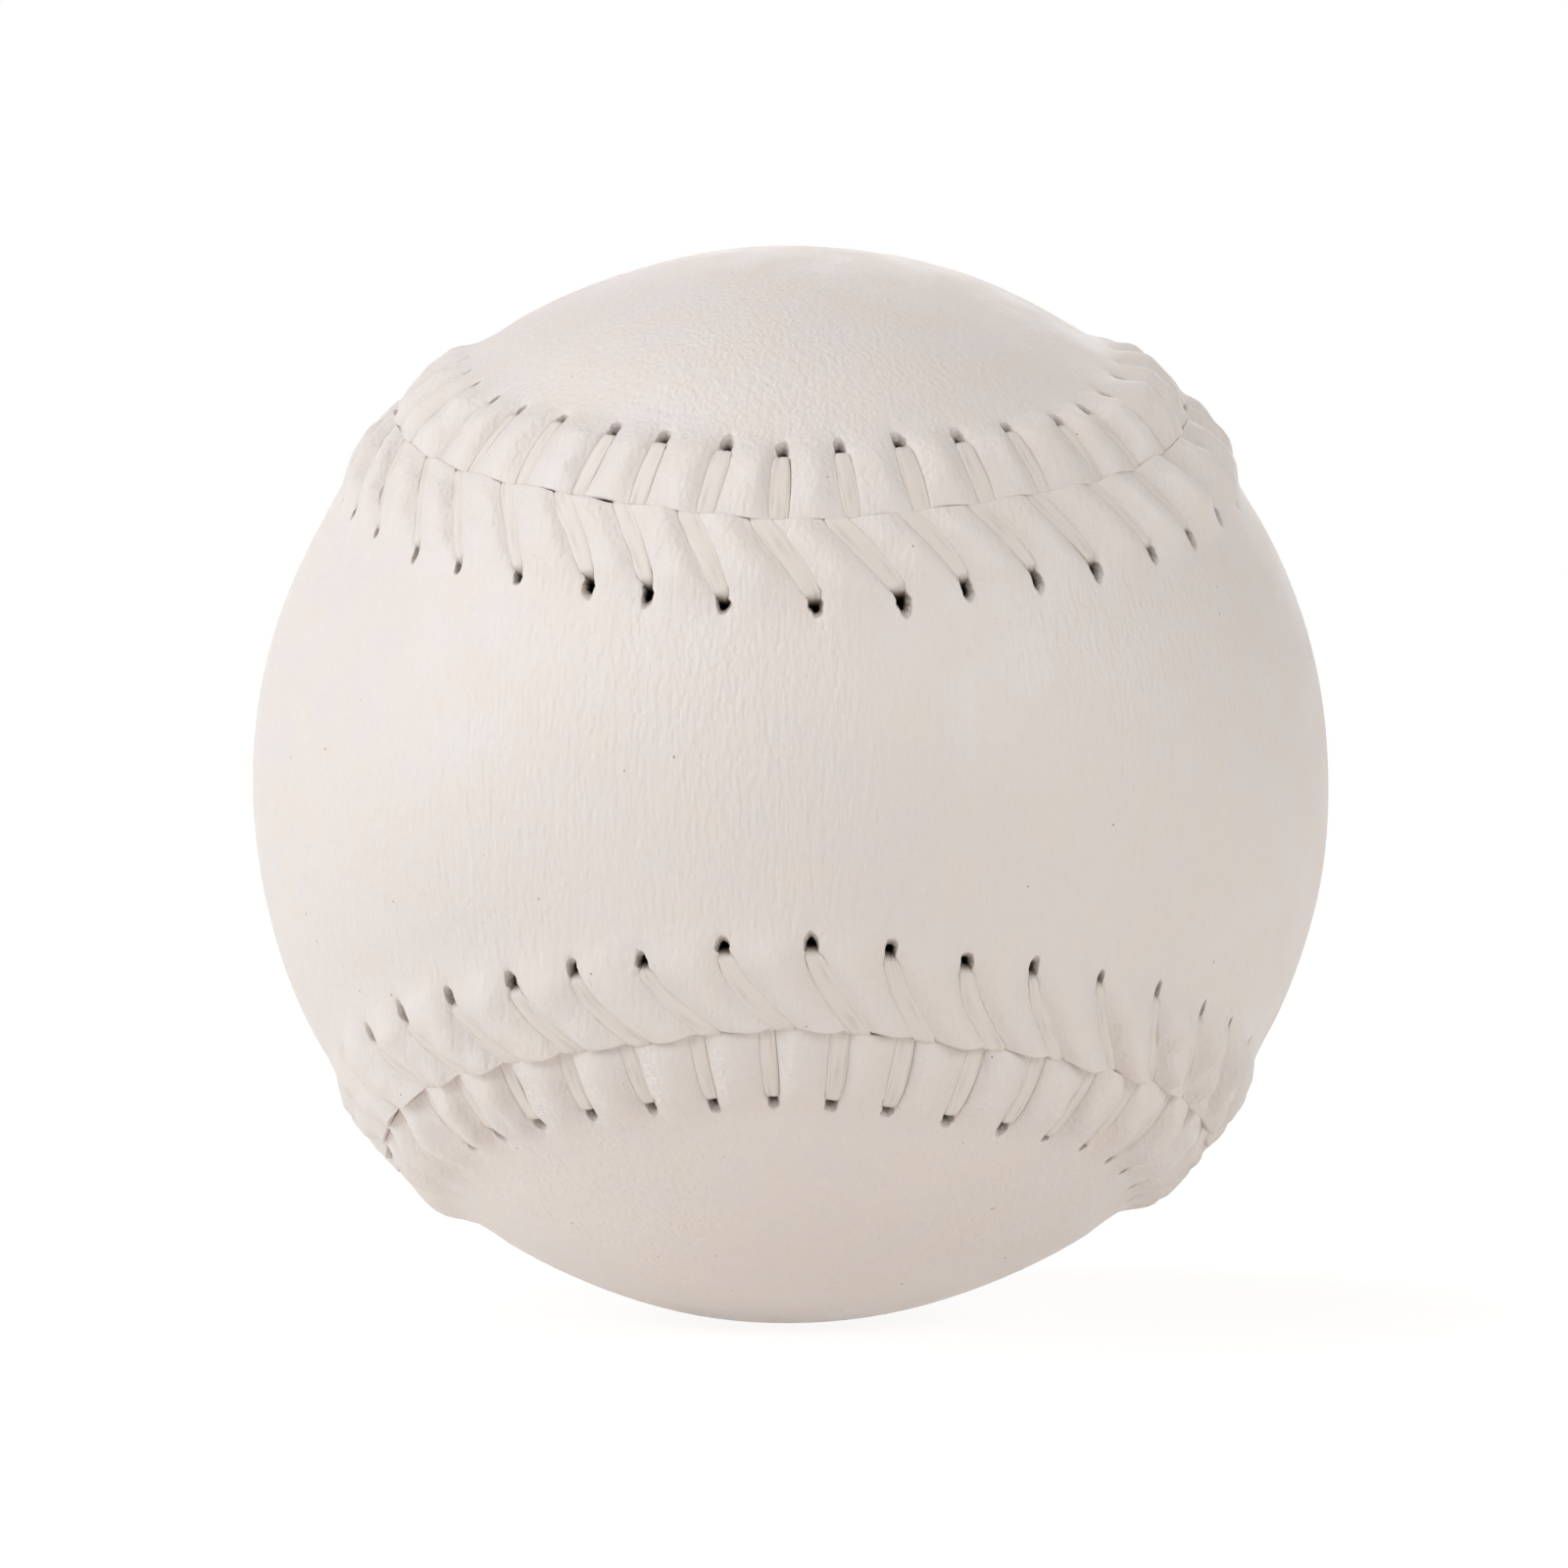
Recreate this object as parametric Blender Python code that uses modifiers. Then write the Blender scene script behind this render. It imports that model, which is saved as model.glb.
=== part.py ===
"""A stitched softball: a cork core, its yarn winding and cement coat, two leather panels and two threads.

Metres, +Z up, origin at the centre of the ball.  The front panel's waist faces -Y and its lobes reach
round to +X and -X; the rear panel's waist faces +Y and its lobes reach up and down.
"""
import bpy
import bmesh
import numpy as np
from math import asin, cos, hypot, pi, radians, sin, sqrt
from mathutils import Vector

MM = 0.001

# Cover
PANEL_DIAMETER = 96.4 * MM      # across the smooth leather between the seams
LEATHER = 1.6 * MM              # thickness of the smooth leather
GROOVE_LEATHER = 0.9 * MM       # thickness left where a thread is pulled into the leather
PILLOW_RISE = 0.9 * MM          # height of the leather between two stitches above the thread grooves
SEAM_DIP = 0.5 * MM             # how far a pillow drops again at the seam line
SEAM_GAP = 0.3 * MM             # between the two panels' edges, at the pillows
BAND_WIDTH = 10.0 * MM          # raised leather on each side of the seam
BAND_FADE = 1.6 * MM            # from the raised leather's rim to the first ring of smooth leather
CREST_INSET = 3.5 * MM          # from the seam to the top of a pillow

# Seam line on the sphere
WAIST_HALF_ANGLE = radians(25.0)    # half the width of a panel at its waist
SEAM_SWAY = 0.396                   # how round the lobes are, against a plain wave

# Stitching
STITCHES = 88                   # holes along each panel
THREAD_DIAMETER = 0.7 * MM
HOLE_INSET = 7.0 * MM           # from the seam to the middle of a hole
HOLE_ASPECT = 1.5               # length of a hole against its width
FRONT_SLANT = 0.65              # how far a front hole lies behind its thread's end at the seam, in stitches
REAR_SLANT = 0.0
DIVE_STEP = 0.24                # between the two threads' ends at the seam, in stitches
CLEARANCE = 0.25 * MM           # between any two pieces

# Core
COAT = 0.4 * MM                 # cement coat over the winding
CORK_DIAMETER = 76.0 * MM
TUCK_HOLE = 3.0 * MM            # opening where the yarn's end is tucked in

# Fineness of the facets
SEAM_SAMPLES = 4096
PANEL_COLUMNS = 64              # columns in the smooth part of a panel, a multiple of four
PANEL_RINGS = 3                 # rings from the raised band to the middle line of a panel
SPINE_REACH = radians(110)      # how far the middle line runs from the waist into each lobe
CORE_SEGMENTS = 24
CORE_RINGS = 12

PANEL_RADIUS = PANEL_DIAMETER / 2
PANEL_INSIDE = PANEL_RADIUS - LEATHER
THREAD_RADIUS = THREAD_DIAMETER / 2


def sag(chord, radius):
    """Depth of a straight chord below the sphere it spans."""
    return chord ** 2 / (8 * radius)


def seam_table():
    """The seam on the unit sphere: points, directions towards the front panel, arc lengths."""
    turn = np.linspace(0, 4 * pi, SEAM_SAMPLES + 1)
    lat = (pi / 2 - WAIST_HALF_ANGLE) * np.cos(turn)
    lon = turn / 2 + SEAM_SWAY * np.sin(2 * turn)
    points = np.stack([-np.cos(lat) * np.sin(lon), -np.sin(lat), np.cos(lat) * np.cos(lon)], axis=1)
    steps = np.linalg.norm(np.diff(points, axis=0), axis=1)
    length = np.concatenate([[0.0], np.cumsum(steps)])
    following = np.roll(points[:-1], -1, axis=0)
    previous = np.roll(points[:-1], 1, axis=0)
    sides = np.cross(points[:-1], following - previous)
    return points, np.concatenate([sides, sides[:1]]), length


SEAM_POINTS, SEAM_SIDES, SEAM_ARC = seam_table()
SEAM_LENGTH = SEAM_ARC[-1] * PANEL_RADIUS
PITCH = SEAM_LENGTH / STITCHES
LOBE_HALF_WIDTH = PANEL_RADIUS * pi / 4
FACET = hypot(SEAM_LENGTH / PANEL_COLUMNS, (LOBE_HALF_WIDTH - BAND_WIDTH) / PANEL_RINGS)

# The stack of layers at the seam, from the core outwards
RUN_LENGTH = hypot(HOLE_INSET, PITCH)
COAT_RADIUS = PANEL_INSIDE - CLEARANCE - sag(FACET, PANEL_INSIDE)
UNDER_RADIUS = COAT_RADIUS + CLEARANCE + THREAD_RADIUS + sag(RUN_LENGTH, COAT_RADIUS)
BAND_INSIDE = UNDER_RADIUS + THREAD_RADIUS + CLEARANCE + sag(RUN_LENGTH, PANEL_INSIDE)
GROOVE_RADIUS = BAND_INSIDE + GROOVE_LEATHER
CREST_RADIUS = GROOVE_RADIUS + PILLOW_RISE
OVER_RADIUS = GROOVE_RADIUS + CLEARANCE + THREAD_RADIUS + sag(RUN_LENGTH, GROOVE_RADIUS)
WINDING_RADIUS = COAT_RADIUS - COAT - CLEARANCE

# Where a thread goes down between the panels, and the holes that it comes up through
DIVE_INSET = SEAM_GAP / 2
NOTCH_INSET = DIVE_INSET + THREAD_RADIUS + CLEARANCE
HOLE_HALF_LENGTH = (THREAD_RADIUS + CLEARANCE) * sqrt(1 + HOLE_ASPECT ** 2)
HOLE_HALF_WIDTH = HOLE_HALF_LENGTH / HOLE_ASPECT


class Side:
    """One panel's side of the seam: +1 is the front panel, -1 the rear one."""

    def __init__(self, sign, slant):
        self.sign = sign
        self.dive_shift = sign * DIVE_STEP / 2 * PITCH
        self.hole_shift = self.dive_shift - slant * PITCH

    def point(self, along, inset, radius):
        """A point beside the seam: distance along it, distance into this panel, distance from the centre."""
        place = (along / PANEL_RADIUS) % SEAM_ARC[-1]
        base = Vector([np.interp(place, SEAM_ARC, SEAM_POINTS[:, axis]) for axis in range(3)]).normalized()
        inward = Vector([np.interp(place, SEAM_ARC, SEAM_SIDES[:, axis]) for axis in range(3)]).normalized()
        angle = self.sign * inset / PANEL_RADIUS
        return (base * cos(angle) + inward * sin(angle)) * radius

    def spine_point(self, local, radius):
        """A point of the panel's middle line, for a column counted from its waist."""
        quarter = PANEL_COLUMNS // 4
        lobe = -1 if local <= 2 * quarter else 1
        from_waist = min(local % (2 * quarter), -local % (2 * quarter), quarter - 1)
        angle = SPINE_REACH * sin(from_waist / quarter * pi / 2)
        if self.sign > 0:
            return Vector((lobe * sin(angle), -cos(angle), 0)) * radius
        return Vector((0, cos(angle), lobe * sin(angle))) * radius


FRONT = Side(1, FRONT_SLANT)
REAR = Side(-1, REAR_SLANT)


def bridge(mesh, first, second):
    """Triangles between two closed loops of (distance along the seam, vertex)."""
    first = first + [(first[0][0] + SEAM_LENGTH, first[0][1])]
    start = min(range(len(second)), key=lambda k: abs(second[k][0] - first[0][0]))
    turned = second[start:] + [(along + SEAM_LENGTH, vert) for along, vert in second[:start + 1]]
    i = j = 0
    while i < len(first) - 1 or j < len(turned) - 1:
        take_first = j == len(turned) - 1 or (i < len(first) - 1 and first[i + 1][0] <= turned[j + 1][0])
        following = first[i + 1][1] if take_first else turned[j + 1][1]
        mesh.faces.new((first[i][1], turned[j][1], following))
        i, j = (i + 1, j) if take_first else (i, j + 1)


def hole_corners(mesh, side, stitch, radius):
    """The four corners of one hole: towards the seam, ahead, away from the seam, behind."""
    along = stitch * PITCH + side.hole_shift
    offsets = ((0, -HOLE_HALF_LENGTH), (HOLE_HALF_WIDTH, 0), (0, HOLE_HALF_LENGTH), (-HOLE_HALF_WIDTH, 0))
    return [mesh.verts.new(side.point(along + ahead, HOLE_INSET + away, radius)) for ahead, away in offsets]


def outer_band(mesh, side):
    """The raised leather beside the seam: a groove with a hole at each stitch, pillows between them."""
    count = 2 * STITCHES
    crest_shift = side.dive_shift + (side.hole_shift - side.dive_shift) * CREST_INSET / HOLE_INSET

    def row(shift, groove, pillow):
        places = [(k * PITCH / 2 + shift, pillow if k % 2 else groove) for k in range(count)]
        return [(along, mesh.verts.new(side.point(along, *spot))) for along, spot in places]

    edge = row(side.dive_shift, (NOTCH_INSET, GROOVE_RADIUS), (SEAM_GAP / 2, CREST_RADIUS - SEAM_DIP))
    crest = row(crest_shift, (CREST_INSET, GROOVE_RADIUS), (CREST_INSET, CREST_RADIUS))
    rim = row(side.hole_shift, (BAND_WIDTH, PANEL_RADIUS), (BAND_WIDTH, PANEL_RADIUS))
    holes = [hole_corners(mesh, side, stitch, GROOVE_RADIUS) for stitch in range(STITCHES)]
    shoulder = GROOVE_RADIUS + PILLOW_RISE / 2
    backs = [mesh.verts.new(side.point((stitch + 0.5) * PITCH + side.hole_shift, HOLE_INSET, shoulder))
             for stitch in range(STITCHES)]
    for k in range(count):
        after = (k + 1) % count
        mesh.faces.new((edge[k][1], edge[after][1], crest[after][1], crest[k][1]))
    for stitch, (near, ahead, far, behind) in enumerate(holes):
        before, here, after = 2 * stitch - 1, 2 * stitch, 2 * stitch + 1
        mesh.faces.new((crest[before][1], crest[here][1], near, behind, backs[stitch - 1]))
        mesh.faces.new((crest[here][1], crest[after][1], backs[stitch], ahead, near))
        mesh.faces.new((backs[stitch - 1], behind, far, rim[here][1], rim[before][1]))
        mesh.faces.new((far, ahead, backs[stitch], rim[after][1], rim[here][1]))
    return edge, holes, rim


def inner_band(mesh, side):
    """The inside of the raised leather, lifted over the threads that run under it."""
    def row(shift, inset, radius):
        places = [stitch * PITCH + shift for stitch in range(STITCHES)]
        return [(along, mesh.verts.new(side.point(along, inset, radius))) for along in places]

    edge = row(side.dive_shift, NOTCH_INSET, BAND_INSIDE)
    rim = row(side.hole_shift, BAND_WIDTH, PANEL_INSIDE)
    holes = [hole_corners(mesh, side, stitch, BAND_INSIDE) for stitch in range(STITCHES)]
    for stitch in range(STITCHES):
        after = (stitch + 1) % STITCHES
        near, ahead, far, _ = holes[stitch]
        next_near, _, next_far, next_behind = holes[after]
        mesh.faces.new((edge[stitch][1], edge[after][1], next_near, next_behind, ahead, near))
        mesh.faces.new((far, ahead, next_behind, next_far, rim[after][1], rim[stitch][1]))
    return edge, holes, rim


def smooth_skin(mesh, side, rim, radius):
    """The smooth leather inside the raised band, drawn together on the panel's middle line."""
    shift = 0 if side.sign > 0 else PANEL_COLUMNS // 4
    places = [SEAM_LENGTH * column / PANEL_COLUMNS for column in range(PANEL_COLUMNS)]
    start = [side.point(along, BAND_WIDTH + BAND_FADE, radius) for along in places]
    middle = [side.spine_point((column - shift) % PANEL_COLUMNS, radius) for column in range(PANEL_COLUMNS)]
    rings = [[mesh.verts.new(point) for point in start]]
    for ring in range(1, PANEL_RINGS):
        share = ring / PANEL_RINGS
        rings.append([mesh.verts.new(a.lerp(b, share).normalized() * radius) for a, b in zip(start, middle)])
    spine = {}
    for point in middle:
        if tuple(point) not in spine:
            spine[tuple(point)] = mesh.verts.new(point)
    rings.append([spine[tuple(point)] for point in middle])
    bridge(mesh, rim, list(zip(places, rings[0])))
    for lower, upper in zip(rings, rings[1:]):
        for column in range(PANEL_COLUMNS):
            after = (column + 1) % PANEL_COLUMNS
            corners = (lower[column], lower[after], upper[after], upper[column])
            mesh.faces.new(dict.fromkeys(corners))


def cover_panel(name, side, material):
    """One leather panel: outside, inside, the walls of its holes and its cut edge."""
    mesh = bmesh.new()
    outer_edge, outer_holes, outer_rim = outer_band(mesh, side)
    inner_edge, inner_holes, inner_rim = inner_band(mesh, side)
    smooth_skin(mesh, side, outer_rim, PANEL_RADIUS)
    smooth_skin(mesh, side, inner_rim, PANEL_INSIDE)
    bridge(mesh, outer_edge, inner_edge)
    for outer, inner in zip(outer_holes, inner_holes):
        for k in range(4):
            mesh.faces.new((outer[k], outer[k - 1], inner[k - 1], inner[k]))
    bmesh.ops.triangulate(mesh, faces=mesh.faces)
    bmesh.ops.recalc_face_normals(mesh, faces=mesh.faces)
    return add_mesh(name, mesh, material)


def thread_route(sides):
    """A thread's points: up a hole, over to the seam, down, and under the other panel to its next hole."""
    route = []
    for stitch in range(STITCHES):
        side = sides[stitch % 2]
        hole = stitch * PITCH + side.hole_shift
        dive = stitch * PITCH + side.dive_shift
        route.append(side.point(hole, HOLE_INSET, UNDER_RADIUS))
        route.append(side.point(hole, HOLE_INSET, OVER_RADIUS))
        route.append(side.point(dive, DIVE_INSET, OVER_RADIUS))
        route.append(side.point(dive, DIVE_INSET, UNDER_RADIUS))
    first, last = route[0], route[-1]
    tail = THREAD_DIAMETER + CLEARANCE
    gap = (first - last).length
    return [first.lerp(last, 0.5 - tail / gap / 2)] + route + [last.lerp(first, 0.5 - tail / gap / 2)]


def thread(name, sides, material):
    """A waxed thread, one unbroken tube with both ends tucked under the cover."""
    curve = bpy.data.curves.new(name, "CURVE")
    curve.dimensions = "3D"
    curve.bevel_depth = THREAD_RADIUS
    curve.bevel_resolution = 0
    curve.use_fill_caps = True
    route = thread_route(sides)
    spline = curve.splines.new("POLY")
    spline.points.add(len(route) - 1)
    for spot, place in zip(spline.points, route):
        spot.co = (*place, 1)
    return add_object(name, curve, material)


def core_ball(name, radius, material):
    """A solid ball."""
    mesh = bmesh.new()
    bmesh.ops.create_uvsphere(mesh, u_segments=CORE_SEGMENTS, v_segments=CORE_RINGS, radius=radius)
    return add_mesh(name, mesh, material)


def core_shell(name, outside, inside, material):
    """A hollow ball turned from its section, with a small opening on top."""
    def arc(radius):
        start = asin(TUCK_HOLE / 2 / radius)
        angles = [start] + [pi * ring / CORE_RINGS for ring in range(1, CORE_RINGS + 1)]
        return [Vector((radius * sin(angle), 0, radius * cos(angle))) for angle in angles]

    section = arc(outside) + arc(inside)[::-1]
    section[CORE_RINGS].x = section[CORE_RINGS + 1].x = 0
    mesh = bmesh.new()
    verts = [mesh.verts.new(point) for point in section]
    for k, vert in enumerate(verts):
        if k != CORE_RINGS:
            mesh.edges.new((vert, verts[(k + 1) % len(verts)]))
    shell = add_mesh(name, mesh, material)
    screw = shell.modifiers.new("turned", "SCREW")
    screw.steps = CORE_SEGMENTS
    screw.render_steps = CORE_SEGMENTS
    screw.use_merge_vertices = True
    screw.merge_threshold = 0.00001
    screw.use_normal_calculate = True
    return shell


def add_object(name, data, material):
    """An object of the ball's collection with its material."""
    piece = bpy.data.objects.new(name, data)
    data.materials.append(material)
    bpy.data.collections["softball"].objects.link(piece)
    return piece


def add_mesh(name, mesh, material):
    data = bpy.data.meshes.new(name)
    mesh.to_mesh(data)
    mesh.free()
    data.shade_smooth()
    data.set_sharp_from_angle(angle=radians(40))
    return add_object(name, data, material)


def surface(name, color, roughness):
    """A plain non-metal finish."""
    material = bpy.data.materials.new(name)
    material.use_nodes = True
    shader = material.node_tree.nodes["Principled BSDF"]
    shader.inputs["Base Color"].default_value = (*color, 1)
    shader.inputs["Roughness"].default_value = roughness
    shader.inputs["Metallic"].default_value = 0
    return material


def main():
    for item in list(bpy.data.objects):
        bpy.data.objects.remove(item)
    bpy.context.scene.collection.children.link(bpy.data.collections.new("softball"))

    core_ball("cork_center", CORK_DIAMETER / 2, surface("cork", (0.36, 0.21, 0.11), 0.85))
    core_shell("yarn_winding", WINDING_RADIUS, CORK_DIAMETER / 2 + CLEARANCE,
               surface("yarn", (0.62, 0.60, 0.55), 0.9))
    core_shell("cement_coat", COAT_RADIUS, COAT_RADIUS - COAT, surface("cement", (0.55, 0.44, 0.27), 0.6))
    cover_panel("front_cover_panel", FRONT, surface("front_leather", (0.80, 0.77, 0.72), 0.5))
    cover_panel("rear_cover_panel", REAR, surface("rear_leather", (0.80, 0.77, 0.72), 0.5))
    thread("thread_one", (FRONT, REAR), surface("first_waxed_thread", (0.82, 0.80, 0.75), 0.55))
    thread("thread_two", (REAR, FRONT), surface("second_waxed_thread", (0.82, 0.80, 0.75), 0.55))


main()
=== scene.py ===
"""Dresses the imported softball: sewn leather panels, flat waxed threads and finishes for the core.

Metres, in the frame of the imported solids.  A place on the cover is given beside the seam line: the distance
along the seam, the inset from it into a panel, and the distance from the centre of the ball.
"""
from math import cos, pi, radians, sin, sqrt

import bmesh
import bpy
import numpy as np
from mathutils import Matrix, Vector


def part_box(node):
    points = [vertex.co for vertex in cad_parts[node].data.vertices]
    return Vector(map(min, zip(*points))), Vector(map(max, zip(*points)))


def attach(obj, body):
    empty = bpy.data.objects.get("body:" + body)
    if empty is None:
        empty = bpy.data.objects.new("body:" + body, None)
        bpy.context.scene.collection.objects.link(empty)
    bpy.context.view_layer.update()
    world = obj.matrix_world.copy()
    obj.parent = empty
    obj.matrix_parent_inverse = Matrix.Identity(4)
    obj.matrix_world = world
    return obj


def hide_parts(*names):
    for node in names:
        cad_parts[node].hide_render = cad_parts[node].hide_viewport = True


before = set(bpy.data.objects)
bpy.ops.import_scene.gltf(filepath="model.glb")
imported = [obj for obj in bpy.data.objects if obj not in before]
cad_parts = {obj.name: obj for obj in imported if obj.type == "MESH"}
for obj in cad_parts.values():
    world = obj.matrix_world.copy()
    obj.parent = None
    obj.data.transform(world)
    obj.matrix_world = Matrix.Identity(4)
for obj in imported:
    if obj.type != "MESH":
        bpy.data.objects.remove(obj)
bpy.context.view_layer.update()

MM = 0.001

# Taken from the frame
PANEL_RADIUS = -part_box("front_cover_panel")[0].y
COAT_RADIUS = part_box("cement_coat")[1].x

# Seam line and stitches, as in the solids
WAIST_HALF_ANGLE = radians(25.0)
SEAM_SWAY = 0.396
SEAM_SAMPLES = 8192
STITCHES = 88
DIVE_STEP = 0.24  # in stitches
FRONT_SLANT = 0.68
REAR_SLANT = 0.0

# What sewing by hand adds: waves round the seam as (waves, size, phase)
SEAM_WANDER = ((1, 0.77 * MM, radians(205)), (2, 0.62 * MM, radians(95)),
               (3, 0.90 * MM, radians(-3)), (4, 0.60 * MM, radians(-44)))
STITCH_START = 0.06  # start of the row, in stitches
STITCH_DRIFT = ((1, 0.235, radians(-15)), (2, 0.10, radians(-98)))
FRONT_SLANT_WAVES = ((1, 0.20, radians(90)), (2, 0.24, radians(90)))
HOLE_INSET = 7.0 * MM
FRONT_INSET_WAVES = ((1, 0.35 * MM, 0.0), (2, 0.5 * MM, radians(90)))
REAR_INSET_WAVES = ((2, 0.9 * MM, radians(90)), (3, 0.3 * MM, radians(-90)))
BOW = 1.2  # how early on its way from the seam a stitch uses up its slant
BOW_LOWER = 0.35  # what the lower seam adds

# Chance: the range of each stitch's own number
SEED = 7
KNOT_JITTER = (-0.05, 0.05)  # in stitches
HOLE_JITTER = (-0.06, 0.06)
INSET_JITTER = (-0.25 * MM, 0.25 * MM)
SCALLOPS = (0.5, 1.4)  # shares of the seam line's swing
SCALLOP_SKEWS = (0.6, 1.5)  # powers that move its widest place off the middle
GAPE_PLACES = (0.3, 0.7)  # of the way to the next stitch
HOLE_LENGTHS = (0.65, 1.15)  # shares
BOWS = (0, 0.25)  # added to BOW
GROOVE_WIDTHS = (0.86, 1.14)  # shares
PUFFS = (0.75, 1.25)  # shares of a pillow's height
LEANS = (-0.5, 1.0)  # shares of PILLOW_LEAN
CREASES = (0.3, 1.0)
SLIPS = (-0.3, 1.0)  # shares of THREAD_SLIP
# how soiled and painted with shade each stitch's holes are
HOLE_SOILS_AND_SHADES = (0.65, 1.0)
RIPPLES = 24  # plane waves in a noise
RIPPLE_SPREAD = (0.7, 1.3)  # spread of their wave numbers

# Leather
LEATHER = 1.6 * MM
BAND_WIDTH = 10.5 * MM  # raised leather on each side of the seam
SKIN_START = BAND_WIDTH + 2.0 * MM  # inset of the first row of smooth leather
SKIN_RIPPLE = 0.07 * MM  # height of its slow unevenness
SKIN_RIPPLE_SIZE = 22 * MM
RIDGE = 0.58 * MM  # height of the raised leather at the thread grooves
RIDGE_INSET = 4.5 * MM  # where it is full
RIDGE_DIP = 0.2  # share that it loses at the seam
SEAM_REACH = 2.5 * MM  # how far that and the overhang reach
PILLOW = 0.46 * MM  # height of the leather between two stitches in a waist's middle
PILLOW_REAR = 0.35  # share by which the rear ones at the lower seam are higher
PILLOW_LEAN = 0.22  # how far its top lies off the middle, in stitches
PILLOW_FULL = 4.8 * MM  # inset up to which the pillows are full
PILLOW_END = 8.6 * MM  # and where they end
CROWN = (1.6, 0.7)  # how softly a pillow starts beside a thread, and where a crack opens there
GATHER = 0.62 * MM  # what the gathers at the ends of a waist add to the pillows
GATHER_FROM = 2.5  # stitches from a waist's middle where they start
GATHER_FULL = 6.0  # where they are full
GATHER_LESS = 8.0  # and from where on they get less
GATHER_LOSS = 0.5  # share that they have lost half way to the next waist
GATHER_CLOSE = 0.50  # share of width that grooves and holes lose where gathers close
GATHER_SQUEEZE = 0.45  # and the grooves alone in the other gathers
SQUEEZE_END = (0.9, 0.7)  # of the way to the hole: where that ends, and up to where it is full
FULLER_RIGHT = 0.40  # share by which they are fuller at the right, less at the left
FULLER_UPPER = 0.35  # what the upper seam adds to the share
PUCKER = 0.30 * MM  # height of the small folds across the seam in the gathers
PUCKER_SIZE = 1.7 * MM
PUCKER_LONG = 4  # how much longer than wide they are
PUCKER_LEAST = 0.2  # share of them away from the right end of the lower seam
LUMP = 0.04 * MM  # unevenness of the pillows
LUMP_GATHERED = 0.05 * MM  # what the gathers add to it
LUMP_SIZE = 3.2 * MM
FOLD = 0.045 * MM  # height of the finest folds
FOLD_SIZE = 0.9 * MM
CREASE_END = (0.6, 0.15)  # of the way over a pillow: where they end, and up to where they are full

# Edges of the panels
EDGE_FALL_UPPER = 0.42  # share of its height that a pillow loses at the upper seam
EDGE_FALL_REAR = 0.5  # and the rear panel's ones at the lower seam
EDGE_FALL_REACH = 2.4 * MM
OVERHANG = (0.08 * MM, 0.26 * MM)  # of the front panel above the rear one, at the upper and the lower seam
OVERHANG_LESS = 0.6  # share that it loses in the gathers
LIP = 0.03 * MM  # drop of a panel's edge into the seam where it is closed
LIP_OPEN = 0.22 * MM  # what it gains where the seam gapes
LIP_REACH = 0.12 * MM
SEAM_GAP = -0.02 * MM  # closed edges press into each other
SEAM_GAPE = 0.30 * MM  # widest opening of the seam between two stitches
SEAM_OPEN = 0.025 * MM  # half opening from which on the cut edge is painted dark, as shade
GAPE_POWER = 0.8  # below 1, more openings are wide
GAPE_LENGTH = 0.2  # half length of an opening, in stitches
GAPE_SHUT = 0.9  # share by which the gathers shut them
# A cut edge at shares of its depth: soil and painted shade, darker deeper down, where the seam is closed and
# where it is open
EDGE_WALL = ((0.04, 0.0, 0.5), (0.12, 0.0, 0.9), (0.35, 0.12, 1.0), (1.0, 0.9, 1.0))
EDGE_SLOPE = 0.12 * MM  # how far a cut edge draws back towards its inside
SCALLOP = (0.12 * MM, 0.30 * MM)  # swing of the upper and the lower seam line between stitches
NOTCH = 0.12 * MM  # bite out of an edge where a thread goes down
NOTCH_HALF = 0.60 * MM
NOTCH_LESS = 0.6  # share that it loses in the gathers

# Holes
HOLE_HALF_LENGTH = {1: 1.36 * MM, -1: 1.12 * MM}  # of the front and the rear ones
HOLE_SHORTER = 0.40  # share of its length that it loses where the gathers close
HOLE_ROUNDING = 0.95
HOLE_FADE = 1.7  # half sizes of the hole at which that has died away
HOLE_RAGGED = 0.07  # how uneven a hole's outline is
RAGGED_SIZE = 1.1 * MM
HOLE_SOIL_AND_SHADE_LESS = 0.35  # share of its soil and painted shade lost in the gathers
HOLE_SOIL_AND_SHADE_UPPER = 0.8  # share of it in the rear holes at the upper seam
# A hole's wall at shares of its depth: size, slope to the thread, and soil with painted shade, darker deeper
# down, at the far and the near end
HOLE_WALL = ((0.05, 0.96, 0.01, 0.20, 0.45), (0.25, 0.84, 0.09, 0.50, 0.9),
             (0.5, 0.70, 0.16, 0.80, 1.0), (1.0, 0.62, 0.20, 1.0, 1.0))
DIMPLE = 0.14 * MM  # dent round a hole
DIMPLE_FLAT = 0.6  # half lengths of the hole up to which it is full
DIMPLE_WIDTH = 0.9 * MM

# Grooves, and the cracks beside the threads in them
GROOVE = 0.32 * MM
GROOVE_DEEPER = 0.1 * MM  # what it gains at the seam
GROOVE_DEEPER_AT = (1.2 * MM, 0.2 * MM)  # insets between which it does
GROOVE_SIDE = (0.92, 1.06)  # its side wall, in half widths
GROOVE_END = (-1.3, -0.2)  # its end, in half lengths of the hole
GROOVE_SHARES = (0.0, 0.12, 0.4, 0.68, 0.80, 0.88, 1.0)  # of the way from the seam to the hole
FRONT_GROOVE = (0.82, 0.92, 0.90, 0.76, 0.64, 0.54, 0.60)  # half width there, in millimetres
REAR_GROOVE = (0.62, 0.70, 0.74, 0.70, 0.62, 0.54, 0.54)
CRACK_TURN = 0.5  # how gently the cracks in front change sides
CRACK_LESS = (0.95, 0.5)  # share of the cracks that gathers close, at the upper and the lower seam
# soil and painted shade in the cracks beside the threads
CRACK_SHADE_AND_SOIL = 0.65
CRACK_SHADE_AND_SOIL_LEAST = 0.3  # share of that in the lightest crack
CRACK_SIDE = (0.7, 0.95)  # half widths of the groove between which the soil and painted shade set in
VALLEY_SHADE = 0.08  # painted shade in the valleys beside the threads
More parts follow.
